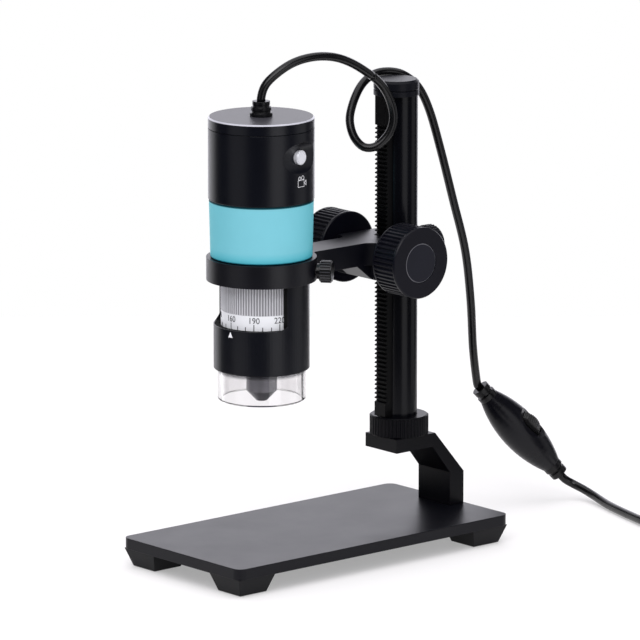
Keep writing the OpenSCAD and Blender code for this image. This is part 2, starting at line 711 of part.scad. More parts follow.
// Focus knob on the +X side, about the shaft's axis
module focus_knob() difference() {
    union() {
        translate([knob_in, 0, 0]) rotate([0, 90, 0]) rotate_extrude()
            polygon([[0, 0], [knob_r - knob_bevel, 0], [knob_r, knob_bevel], [knob_r, knob_rim],
                     [knob_core, knob_rim], [knob_core, knob_l - knob_rim], [knob_r, knob_l - knob_rim],
                     [knob_r, knob_l - knob_bevel], [knob_r - knob_bevel, knob_l], [0, knob_l]]);
        translate([knob_in + knob_bevel, 0, 0]) rotate([0, 90, 0])
            fluted(knob_r - 0.06, flute_depth, knob_flutes, knob_l - 2 * knob_bevel);
    }
    along_x(knob_in - 1, shaft_end + 0.3, shaft_d / 2 + fit_gap);
    along_x(knob_out - knob_disc_t, knob_out + 1, knob_disc_d / 2 + fit_gap);
}

module knob_near() color("#212226") translate([0, pinion_y, pinion_z]) focus_knob();

module knob_far() color("#212226") translate([0, pinion_y, pinion_z]) mirror([1, 0, 0]) focus_knob();

module knob_discs() color("#34363b") translate([0, pinion_y, pinion_z]) for (side = [0, 1])
    mirror([side, 0, 0]) translate([knob_out - knob_disc_t, 0, 0]) rotate([0, 90, 0]) rotate_extrude()
        polygon([[0, 0], [knob_disc_d / 2, 0], [knob_disc_d / 2, knob_disc_t - knob_bevel],
                 [knob_disc_d / 2 - knob_bevel, knob_disc_t - 0.1], [0, knob_disc_t - 0.1]]);

module lock_knob() color("#212226") translate([0, column_y + lock_in, pinion_z]) rotate([-90, 0, 0])
    difference() {
        union() {
            cylinder(d = lock_d - 0.9, h = lock_l);
            translate([0, 0, 0.5]) fluted(lock_d / 2, 0.35, 30, lock_l - 1);
        }
        translate([0, 0, -1]) cylinder(d = lock_stud_d + 2 * fit_gap, h = lock_l - 0.5);
    }

module lock_stud() color("#9a9da2") translate([0, column_y, pinion_z]) rotate([-90, 0, 0])
    translate([0, 0, column_r + free_gap])
        cylinder(d = lock_stud_d, h = lock_in + lock_l - 1.5 - column_r - free_gap);

module ring_knob() color("#2a2b30") translate([0, scope_y, thumb_z]) rotate([0, 90, thumb_angle])
    translate([0, 0, thumb_in]) difference() {
        union() {
            cylinder(d = thumb_d - 0.9, h = thumb_l);
            translate([0, 0, 0.4]) fluted(thumb_d / 2, 0.42, 22, thumb_l - 0.8);
            translate([0, 0, -thumb_neck]) cylinder(d = thumb_neck_d, h = thumb_neck + eps);
        }
        translate([0, 0, -thumb_neck - 1])
            cylinder(d = thumb_stud_d + 2 * fit_gap, h = thumb_neck + thumb_l);
    }

module ring_stud() color("#9a9da2") translate([0, scope_y, thumb_z]) rotate([0, 90, thumb_angle])
    translate([0, 0, body_r + free_gap])
        cylinder(d = thumb_stud_d, h = thumb_in + thumb_l - 1 - body_r - free_gap);

// Microscope

module top_cap() color("#26272b") on_scope() difference() {
    rotate_extrude() polygon([[0, lid_z], [0, lid_top], [upper_r - lid_chamfer, lid_top],
        [upper_r, lid_top - lid_chamfer], [upper_r, lid_z + 0.25], [upper_r - 0.25, lid_z],
        [upper_in - fit_gap, lid_z], [upper_in - fit_gap, lid_z - 2.5],
        [upper_in - 1.6, lid_z - 2.5], [upper_in - 1.6, lid_z]]);
    translate([0, 0, lid_z - 1]) cylinder(d = boot_plug_d + 2 * fit_gap, h = lid_h + 2);
}

// What follows is drawn about the microscope's axis at the button's height, the button towards +X
module on_button() {
    on_scope() rotate([0, 0, button_turn]) translate([0, 0, button_z]) children();
}

module upper_housing() color("#1f2024") difference() {
    union() {
        on_scope() rotate_extrude()
            polygon([[upper_in, upper_z], [upper_r - 0.3, upper_z], [upper_r, upper_z + 0.3],
                     [upper_r, lid_z], [upper_in, lid_z]]);
        // flat pad behind the recess
        on_button() intersection() {
            translate([0, 0, -pad_half]) cylinder(r = upper_in + 0.5, h = 2 * pad_half);
            translate([pad_face, -upper_r, -pad_half]) cube([upper_r, upper_d, 2 * pad_half]);
        }
    }
    // scooped recess across the side, and the way for the button
    on_button() translate([upper_r - dish_depth + dish_r, 0, 0]) rotate([90, 0, 0])
        cylinder(r = dish_r, h = upper_d, center = true);
    on_button() along_x(0, upper_d, button_d / 2 + run_gap);
}

module grip_sleeve() color("#7ecbd9") on_scope() rotate_extrude()
    polygon([[body_r + fit_gap, sleeve_z], [sleeve_bottom_d / 2 - 0.2, sleeve_z],
             [sleeve_bottom_d / 2, sleeve_z + 0.2], [sleeve_top_d / 2, upper_z - 0.2],
             [sleeve_top_d / 2 - 0.2, upper_z], [body_r + fit_gap, upper_z]]);

module window_cut() {
    // round-cornered opening, cut straight in from the front as far as the window's side edges
    w = 2 * body_r * sin(window_half);
    depth = body_r * (1 - cos(window_half)) + 1;
    translate([0, -body_r - 1 + depth, body_z + window_sill + window_h / 2]) rotate([90, 0, 0])
        round_plate(w, window_h, depth, window_corner);
}

module lower_body() color("#1f2024") on_scope() difference() {
    rotate_extrude() polygon([[nose_r + fit_gap, body_z], [body_r - 0.3, body_z], [body_r, body_z + 0.3],
        [body_r, upper_z], [upper_in - fit_gap, upper_z], [upper_in - fit_gap, board_z],
        [upper_in - 1.7, board_z], [body_in, upper_z - 2], [body_in, nose_top],
        [nose_r + fit_gap, nose_top]]);
    window_cut();
}

module clear_nose() color("#e8eef2", 0.4) on_scope() rotate_extrude()
    polygon([[nose_in, nose_z + 0.4], [nose_in + 0.4, nose_z], [nose_r - 0.4, nose_z], [nose_r, nose_z + 0.4],
             [nose_r, nose_top], [nose_in, nose_top]]);

module cord_boot() color("#18181b") on_scope() {
    translate([0, 0, lid_top]) ribbed_boot(boot_d, boot_d - 1.7, boot_l, 3);
    translate([0, 0, lid_top - boot_plug_h]) cylinder(d = boot_plug_d, h = boot_plug_h + eps);
}

module main_board() color("#1f6b3a") on_scope() translate([0, 0, board_z])
    cylinder(r = upper_in - 0.4, h = board_t);

module image_sensor() color("#2d2d33") on_scope() translate([-4.5, -4.5, board_z - 1.8]) cube([9, 9, 1.8]);

module button_board() color("#1f6b3a") on_button()
    translate([switch_face - switch_t - button_board_t, -button_board_w / 2, board_z + board_t - button_z])
        cube([button_board_t, button_board_w, button_z + button_board_over - board_z - board_t]);

module push_switch() color("#3a3a40") on_button()
    translate([switch_face - switch_t, -switch_w / 2, -switch_w / 2]) cube([switch_t, switch_w, switch_w]);

module capture_button() color("#d9dbde") on_button() {
    along_x(button_back, button_face - 0.3, button_d / 2);
    along_x(button_face - 0.31, button_face, button_d / 2 - 0.3);
    along_x(button_back, button_back + button_flange, button_d / 2 + 0.7);
}

// Disc that guides the barrel and carries the dial
module barrel_guide() color("#2b2c31") on_scope() difference() {
    translate([0, 0, nose_top + led_board_t])
        cylinder(r = body_in - fit_gap, h = guide_top - nose_top - led_board_t);
    translate([0, 0, body_z]) cylinder(r = barrel_r + run_gap, h = body_drop);
}

module dial_retainer() color("#2b2c31") on_scope() difference() {
    translate([0, 0, dial_top + free_gap]) cylinder(r = body_in - fit_gap, h = retainer_t);
    translate([0, 0, dial_top]) cylinder(r = barrel_r + 1, h = retainer_t + 2);
}

module light_board() color("#ece9e0") on_scope() difference() {
    translate([0, 0, nose_top]) cylinder(r = body_in - fit_gap, h = led_board_t);
    translate([0, 0, nose_top - 1]) cylinder(r = barrel_r + 0.8, h = led_board_t + 2);
}

module light_diodes() color("#f4f2d8") on_scope() for (i = [0 : led_count - 1])
    rotate([0, 0, 360 * (i + 0.5) / led_count]) translate([led_ring, 0, nose_top - led_h])
        cylinder(d = led_d, h = led_h);

// Focus dial and lens

module focus_dial() color("#a9a9ae") on_scope() difference() {
    translate([0, 0, dial_z + scale_h]) fluted(dial_d / 2, 0.3, dial_flutes, dial_h);
    translate([0, 0, dial_z]) cylinder(r = dial_bore, h = scale_h + dial_h + 1);
}

module dial_scale() color("#eceef0") on_scope() difference() {
    translate([0, 0, dial_z]) cylinder(r = dial_d / 2 - 0.05, h = scale_h);
    translate([0, 0, dial_z - 1]) cylinder(r = dial_bore, h = scale_h + 2);
}

module lens_barrel() color("#5d5c63") on_scope() difference() {
    union() {
        rotate_extrude() polygon([[0, barrel_z], [barrel_tip_d / 2, barrel_z],
                                  [barrel_r, barrel_z + barrel_cone],
                                  [barrel_r, barrel_top], [0, barrel_top]]);
        translate([0, 0, collar_z]) cylinder(d = collar_d, h = collar_h);
    }
    translate([0, 0, barrel_z - 1]) cylinder(d = lens_d + 2 * fit_gap, h = lens_t + 1.2);
    translate([0, 0, barrel_z + lens_t]) cylinder(d = lens_d - 1, h = body_drop + upper_l);
}

module front_lens() color("#c8d8e4") on_scope() translate([0, 0, barrel_z + 0.2])
    cylinder(d = lens_d, h = lens_t);

// Cord, dimmer and plug

module in_dimmer() {
    translate(dimmer_at) rotate([0, dimmer_lean, dimmer_heading]) rotate([0, 0, dimmer_roll]) children();
}

// Spindle of revolution: an arc from end to end
module spindle(d, d_end, l) {
    rise = (d - d_end) / 2;
    bend = (l * l / 4 + rise * rise) / (2 * rise);
    steps = 16;
    rotate_extrude() polygon(concat([[0, -l / 2]],
        [for (i = [0 : steps]) let (z = -l / 2 + l * i / steps)
            [d / 2 - bend + sqrt(bend * bend - z * z), z]],
        [[0, l / 2]]));
}

module in_board_room() {
    translate([0, 0, dimmer_board_at]) children();
}

module on_axle() {
    translate([wheel_off, 0, 0]) rotate([90, 0, 0]) children();
}

module dimmer_shell(side) difference() {
    spindle(dimmer_d, dimmer_end_d, dimmer_l);
    translate([-dimmer_d, side > 0 ? -dimmer_d * 2 : 0, -dimmer_l])
        cube([2 * dimmer_d, 2 * dimmer_d, 2 * dimmer_l]);
    // wheel's slot with its dished mouth, its axle's bearings and the board's room
    on_axle() cylinder(d = wheel_d + 2 * free_gap, h = wheel_w + 2 * free_gap, center = true);
    on_axle() cylinder(d = axle_d + 2 * run_gap, h = axle_l + 2 * free_gap, center = true);
    translate([dimmer_d / 2 + mouth_r - mouth_depth, 0, 0]) rotate([90, 0, 0])
        cylinder(r = mouth_r, h = 2 * dimmer_d, center = true);
    in_board_room()
        cube([dimmer_board_t, dimmer_board_w, dimmer_board_l] + 2 * fit_gap * [1, 1, 1], center = true);
}

module dimmer_front() color("#17171a") in_dimmer() dimmer_shell(1);

module dimmer_back() color("#17171a") in_dimmer() dimmer_shell(-1);

module dimmer_boots() color("#141416") in_dimmer() for (end = [0, 1]) mirror([0, 0, end])
    translate([0, 0, dimmer_l / 2])
        ribbed_boot(dimmer_end_d - 0.2, dimmer_end_d - 0.8, dimmer_boot_l, 2, 2 * rib_depth);

module dimmer_board() color("#1f6b3a") in_dimmer() in_board_room()
    cube([dimmer_board_t, dimmer_board_w, dimmer_board_l], center = true);

module dimmer_wheel() color("#1c1c1f") in_dimmer() on_axle() {
    translate([0, 0, -wheel_w / 2]) fluted(wheel_d / 2, 0.16, 48, wheel_w);
    cylinder(d = axle_d, h = axle_l, center = true);
}

module cord_upper() color("#1a1a1d") tube(smooth(upper_route, cord_step), cord_r, cord_sides);

module cord_lower() color("#1a1a1d") tube(smooth(lower_route, cord_step), cord_r, cord_sides);

module cord_coil() color("#1a1a1d") tube(coil_route, cord_r, coil_sides);

// Strap round the coil's bundle, at a share of a loop where no layer climbs
module cord_tie() color("#101012") {
    tie_t = 0.8;
    tie_w = 4;
    share = 0.6;
    room = free_gap + 0.2;
    r0 = coil_inner_r + (1 - share) * coil_pitch - cord_r - room;
    r1 = coil_inner_r + (1 + share) * coil_pitch + cord_r + room;
    z0 = coil_lift - free_gap;
    z1 = coil_lift + cord_d + 3 * coil_pitch + free_gap;
    translate([coil_at[0], coil_at[1], 0]) rotate([0, 0, coil_angle + 360 * share]) difference() {
        translate([r0 - tie_t, -tie_w / 2, z0 - tie_t])
            cube([r1 - r0 + 2 * tie_t, tie_w, z1 - z0 + 2 * tie_t]);
        translate([r0, -tie_w, z0]) cube([r1 - r0, 2 * tie_w, z1 - z0]);
    }
}

module in_plug() translate(plug_at) rotate([0, 0, plug_angle]) children();

module plug_body() color("#18181b") in_plug() {
    rotate([0, 90, 0]) ribbed_boot(cord_d + 2.2, cord_d + 3.2, plug_boot_l, 4);
    translate([plug_boot_l - eps, 0, 0]) difference() {
        rotate([90, 0, 90]) linear_extrude(plug_l)
            polygon([for (q = [[1, 1], [-1, 1], [-1, -1], [1, -1]], k = [0, 1])
                let (cut = q[0] * q[1] > 0 ? k : 1 - k)
                [q[0] * (plug_w / 2 - cut * plug_chamfer),
                 q[1] * (plug_t / 2 - (1 - cut) * plug_chamfer)]]);
        translate([plug_l - usb_seat, -usb_w / 2 - fit_gap, -usb_t / 2 - fit_gap])
            cube([usb_seat + 1, usb_w + 2 * fit_gap, usb_t + 2 * fit_gap]);
    }
}

// What follows stands on the floor of the plug's socket for the shell
module in_socket() in_plug() translate([plug_boot_l - eps + plug_l - usb_seat, 0, 0]) children();

module plug_shell() color("#c3c6ca") in_socket() difference() {
    translate([0, -usb_w / 2, -usb_t / 2]) cube([usb_l + usb_seat, usb_w, usb_t]);
    translate([-1, -usb_w / 2 + usb_sheet, -usb_t / 2 + usb_sheet])
        cube([usb_l + usb_seat + 2, usb_w - 2 * usb_sheet, usb_t - 2 * usb_sheet]);
}

module plug_tongue() color("#eeeeea") in_socket()
    translate([0, -usb_w / 2 + usb_sheet + fit_gap, 0])
        cube([usb_l + usb_seat - 1.2, usb_w - 2 * usb_sheet - 2 * fit_gap, usb_t / 2 - usb_sheet - fit_gap]);

// The coil's least gap to itself, measured between points more than half a loop apart
coil_gap = min([for (i = [0 : len(coil_route) - 1], j = [i + coil_rings / 2 : len(coil_route) - 1])
    norm(coil_route[i] - coil_route[j])]) - cord_d;
echo(coil_gap = coil_gap);
echo(cord_lengths = [path_length(smooth(upper_route, cord_step)), path_length(smooth(lower_route, cord_step)),
                     path_length(coil_route)]);

base_plate();
feet();
foot_screws();
column_bracket();
bracket_screws();
column();
rack();
column_screw();
column_cap();
column_nut();
holder_arm();
pinion_bushes();
pinion_shaft();
knob_near();
knob_far();
knob_discs();
lock_knob();
lock_stud();
ring_knob();
ring_stud();
top_cap();
upper_housing();
grip_sleeve();
lower_body();
clear_nose();
cord_boot();
main_board();
image_sensor();
button_board();
push_switch();
capture_button();
barrel_guide();
dial_retainer();
light_board();
light_diodes();
focus_dial();
dial_scale();
lens_barrel();
front_lens();
cord_upper();
dimmer_front();
dimmer_back();
dimmer_boots();
dimmer_board();
dimmer_wheel();
cord_lower();
cord_coil();
cord_tie();
plug_body();
plug_shell();
plug_tongue();
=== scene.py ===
"""Digital microscope on a rack-and-pinion stand: camera, finishes, cords, marks and light."""
import math

import bpy
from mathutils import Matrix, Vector


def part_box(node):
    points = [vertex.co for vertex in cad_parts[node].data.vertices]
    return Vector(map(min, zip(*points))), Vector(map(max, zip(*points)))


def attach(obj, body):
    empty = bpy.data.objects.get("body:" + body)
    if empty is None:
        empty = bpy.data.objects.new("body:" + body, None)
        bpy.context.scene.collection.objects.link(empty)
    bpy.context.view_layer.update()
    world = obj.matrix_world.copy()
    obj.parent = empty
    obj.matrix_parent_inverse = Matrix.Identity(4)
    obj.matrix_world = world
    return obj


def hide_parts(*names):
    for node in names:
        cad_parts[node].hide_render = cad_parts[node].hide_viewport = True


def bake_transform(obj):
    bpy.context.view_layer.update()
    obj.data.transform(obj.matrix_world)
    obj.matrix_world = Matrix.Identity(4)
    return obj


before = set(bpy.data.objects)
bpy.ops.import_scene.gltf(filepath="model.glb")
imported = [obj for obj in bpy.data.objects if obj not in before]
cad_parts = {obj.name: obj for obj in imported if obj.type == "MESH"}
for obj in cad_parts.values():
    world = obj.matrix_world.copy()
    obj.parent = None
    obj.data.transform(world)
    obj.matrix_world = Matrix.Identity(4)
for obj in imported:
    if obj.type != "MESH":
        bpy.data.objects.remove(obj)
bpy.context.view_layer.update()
scene = bpy.context.scene
MM = 0.001
# Millimetres along Y to the microscope's upright axis and to the knobs' shaft
SCOPE_Y, PINION_Y = -25.2, 25.85


# Camera: a long lens, at the photograph's viewing angle

SENSOR_WIDTH, FOCAL_LENGTH = 36, 365.6
CAMERA_AT = (1.6676, -1.4366, 0.5503)
CAMERA_TILT, CAMERA_TURN = math.radians(78.02), math.radians(49.23)
FAR_CLIP = 20

lens = bpy.data.cameras.new("camera")
lens.sensor_width = SENSOR_WIDTH
lens.lens = FOCAL_LENGTH
lens.clip_end = FAR_CLIP
camera = bpy.data.objects.new("camera", lens)
camera.location = CAMERA_AT
camera.rotation_euler = (CAMERA_TILT, 0, CAMERA_TURN)
scene.collection.objects.link(camera)
scene.camera = camera


# Materials

GRAIN_DEPTH = 0.00003
EDGE_SAMPLES = 4
ROUGH_DRIFT = 0.02


class Nodes:
    """A node tree and short ways to add to it. Coordinates are the object's own, in metres."""

    def __init__(self, tree):
        self.tree = tree

    def add(self, kind, inputs=None, **settings):
        node = self.tree.nodes.new(kind)
        for key, value in settings.items():
            setattr(node, key, value)
        for key, value in (inputs or {}).items():
            node.inputs[key].default_value = value
        return node

    def link(self, out, socket):
        self.tree.links.new(out, socket)

    def noise(self, scale, detail=3.0, rough=0.55, stretch=None):
        """Noise of so many cells per metre."""
        out = self.add("ShaderNodeTexCoord").outputs["Object"]
        if stretch:
            mapping = self.add("ShaderNodeMapping", {"Scale": stretch})
            self.link(out, mapping.inputs["Vector"])
            out = mapping.outputs["Vector"]
        node = self.add("ShaderNodeTexNoise", {"Scale": scale, "Detail": detail,
                                               "Roughness": rough})
        self.link(out, node.inputs["Vector"])
        return node.outputs["Fac"]

    def ramp(self, value, stops):
        node = self.add("ShaderNodeValToRGB")
        while len(node.color_ramp.elements) < len(stops):
            node.color_ramp.elements.new(0.5)
        for element, (place, colour) in zip(node.color_ramp.elements, stops):
            element.position = place
            element.color = (*colour, 1)
        self.link(value, node.inputs["Fac"])
        return node.outputs["Color"]

    def spread(self, value, low, high, start=0.3, end=0.7):
        """From low to high while the value goes from start to end."""
        node = self.add("ShaderNodeMapRange", {"From Min": start, "From Max": end,
                                               "To Min": low, "To Max": high})
        self.link(value, node.inputs["Value"])
        return node.outputs["Result"]

    def height(self):
        parts = self.add("ShaderNodeSeparateXYZ")
        self.link(self.add("ShaderNodeTexCoord").outputs["Object"], parts.inputs["Vector"])
        return parts.outputs["Z"]

    def mix(self, mask, a, b):
        node = self.add("ShaderNodeMix", data_type="RGBA")
        self.link(mask, node.inputs["Factor"])
        self.link(a, node.inputs["A"])
        self.link(b, node.inputs["B"])
        return node.outputs["Result"]

    def largest(self, first, *others):
        for other in others:
            node = self.add("ShaderNodeMath", operation="MAXIMUM")
            self.link(first, node.inputs[0])
            self.link(other, node.inputs[1])
            first = node.outputs["Value"]
        return first

    def tones(self, cloud, colour, tone, start=0.3, end=0.7):
        """A colour that wanders between a darker and a lighter tone of itself."""
        dark = [c * (1 - tone) for c in colour]
        light = [min(1, c * (1 + tone)) for c in colour]
        return self.ramp(cloud, [(start, dark), (end, light)])


class Surface(Nodes):
    """A new material and its Principled shader."""

    def __init__(self, name):
        self.material = bpy.data.materials.new(name)
        self.material.use_nodes = True
        super().__init__(self.material.node_tree)
        self.bsdf = self.tree.nodes["Principled BSDF"]
        self.output = self.tree.nodes["Material Output"]

    def set(self, values):
        for key, value in values.items():
            self.bsdf.inputs[key].default_value = value

    def feed(self, key, out):
        self.link(out, self.bsdf.inputs[key])

    def grain(self, strength, scale, rough=0.55, stretch=None, edge=0.0):
        """Fine bumps, over edges that shade as if they were rounded to the radius edge."""
        bump = self.add("ShaderNodeBump", {"Strength": strength, "Distance": GRAIN_DEPTH})
        self.link(self.noise(scale, 2.0, rough, stretch), bump.inputs["Height"])
        if edge:
            bevel = self.add("ShaderNodeBevel", {"Radius": edge}, samples=EDGE_SAMPLES)
            self.link(bevel.outputs["Normal"], bump.inputs["Normal"])
        self.feed("Normal", bump.outputs["Normal"])


def finish(name, colour, rough, spec, metal=0.0, tone=0.12, tone_scale=70.0, rough_spread=0.05,
           grain=0.12, grain_scale=2600.0, edge=0.0, stretch=None, coat=0.0, coat_rough=0.1,
           bands=None):
    """Moulded or coated surface: cloudy tone, uneven gloss, fine grain and softened edges.

    bands multiplies the colour by stops between a low and a high place on Z.
    """
    surface = Surface(name)
    cloud = surface.noise(tone_scale, 4.0)
    base = surface.tones(cloud, colour, tone, 0.32, 0.68)
    if bands:
        low, high, stops = bands
        level = surface.spread(surface.height(), 0, 1, low, high)
        shade = surface.add("ShaderNodeMix", {"Factor": 1.0}, data_type="RGBA",
                            blend_type="MULTIPLY")
        surface.link(base, shade.inputs["A"])
        surface.link(surface.ramp(level, stops), shade.inputs["B"])
        base = shade.outputs["Result"]
    surface.feed("Base Color", base)
    surface.feed("Roughness", surface.spread(cloud, rough - rough_spread, rough + rough_spread))
    surface.grain(grain, grain_scale, 0.5, stretch, edge)
    surface.set({"Specular IOR Level": spec, "Metallic": metal,
                 "Coat Weight": coat, "Coat Roughness": coat_rough})
    return surface.material


def clear(name, colour, rough, ior, shoulder=None, density=0.0):
    """Clear moulding with faint streaks in its gloss.

    shoulder greys it above a range of heights, and density darkens it where it is thick.
    """
    surface = Surface(name)
    cloud = surface.noise(220.0)
    tint = surface.tones(cloud, colour, 0.01)
    if shoulder:
        low, high, grey = shoulder
        mask = surface.spread(surface.height(), 0, 1, low, high)
        tint = surface.mix(mask, tint, surface.tones(cloud, grey, 0.02))
    surface.feed("Base Color", tint)
    surface.feed("Roughness", surface.spread(cloud, rough * 0.5, rough * 1.5))
    surface.set({"Transmission Weight": 1.0, "IOR": ior})
    if density:
        depth = surface.add("ShaderNodeVolumeAbsorption",
                            {"Color": (0.5, 0.5, 0.53, 1), "Density": density})
        surface.link(depth.outputs["Volume"], surface.output.inputs["Volume"])
    return surface.material


def ridged(name, groove, ridge, centre, axis, r0, r1, rough, spec, rough_in=None, edge=0.0):
    """Turned piece: the groove's colour within r0 of its axis, the ridge's beyond r1.

    rough_in is the roughness within r0, where it differs.
    """
    surface = Surface(name)
    shift = surface.add("ShaderNodeVectorMath", {1: centre}, operation="SUBTRACT")
    surface.link(surface.add("ShaderNodeTexCoord").outputs["Object"], shift.inputs[0])
    flat = surface.add("ShaderNodeVectorMath", {1: axis}, operation="CROSS_PRODUCT")
    surface.link(shift.outputs["Vector"], flat.inputs[0])
    span = surface.add("ShaderNodeVectorMath", operation="LENGTH")
    surface.link(flat.outputs["Vector"], span.inputs[0])
    mask = surface.spread(span.outputs["Value"], 0, 1, r0, r1)
    cloud = surface.noise(160.0)
    surface.feed("Base Color", surface.mix(mask, surface.tones(cloud, groove, 0.06),
                                           surface.tones(cloud, ridge, 0.05)))
    gloss = surface.spread(cloud, rough - ROUGH_DRIFT, rough + ROUGH_DRIFT)
    if rough_in:
        inside = surface.spread(cloud, rough_in - ROUGH_DRIFT, rough_in + ROUGH_DRIFT)
        gloss = surface.mix(mask, inside, gloss)
    surface.feed("Roughness", gloss)
    surface.grain(0.16, 3000.0, edge=edge)
    surface.set({"Specular IOR Level": spec})
    return surface.material


HOUSING = (0.0022, 0.0027, 0.0056)
# Heights where the top cap turns from its side to the chamfer, and from there to the disc
CAP_RIM, CAP_DISC = (157.46 * MM, 157.49 * MM), (157.96 * MM, 157.98 * MM)


def rim_cap(name):
    """Top cap: black side, turned chamfer whose light grey is a painted highlight all round it,
    fine-grained satin disc.
    """
    surface = Surface(name)
    z = surface.height()
    rim = surface.spread(z, 0, 1, *CAP_RIM)
    disc = surface.spread(z, 0, 1, *CAP_DISC)
    cloud = surface.noise(300.0)
    side = surface.tones(cloud, HOUSING, 0.08)
    # The chamfer's light grey is a painted highlight that runs all round the cap.
    bright = surface.tones(cloud, (0.44, 0.44, 0.48), 0.06)
    top = surface.tones(cloud, (0.040, 0.039, 0.046), 0.05)
    surface.feed("Base Color", surface.mix(disc, surface.mix(rim, side, bright), top))
    surface.feed("Roughness", surface.spread(disc, 0.28, 0.4, 0, 1))
    surface.grain(0.25, 3200.0)
    surface.set({"Specular IOR Level": 0.35})
    return surface.material


def middle_z(node):
    low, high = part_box(node)
    return (low[2] + high[2]) / 2


UPRIGHT = (0, 0, 1)
SCOPE_FOOT = (0, SCOPE_Y * MM, 0)
THUMB_AT, THUMB_AXIS = (0, SCOPE_Y * MM, middle_z("ring_knob")), (0.766044, 0.642788, 0)
PINION_AT, PINION_AXIS = (0, PINION_Y * MM, middle_z("knob_near")), (1, 0, 0)
NOSE_SHOULDER = (68.4 * MM, 69.4 * MM, (0.23, 0.23, 0.24))

# The sleeve's colour deepens towards its edges, and at its foot and its top it turns near black as
# painted shade where the ring and the housing meet it: millimetres above its foot, share of the
# colour.
SLEEVE_EDGE_COLOUR_AND_SHADE = [
    (0.0, (0.04, 0.26, 0.32)), (0.3, (0.04, 0.26, 0.32)), (0.5, (0.42, 0.84, 0.87)),
    (1.8, (0.68, 0.93, 0.95)), (3.8, (1, 1, 1)), (19.25, (1, 1, 1)), (19.5, (0.02, 0.10, 0.11)),
    (20.0, (0.02, 0.07, 0.08)),
]
sleeve_low, sleeve_high = (corner[2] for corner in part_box("grip_sleeve"))
sleeve_colour_and_shade_stops = [(at * MM / (sleeve_high - sleeve_low), share) for at, share in SLEEVE_EDGE_COLOUR_AND_SHADE]

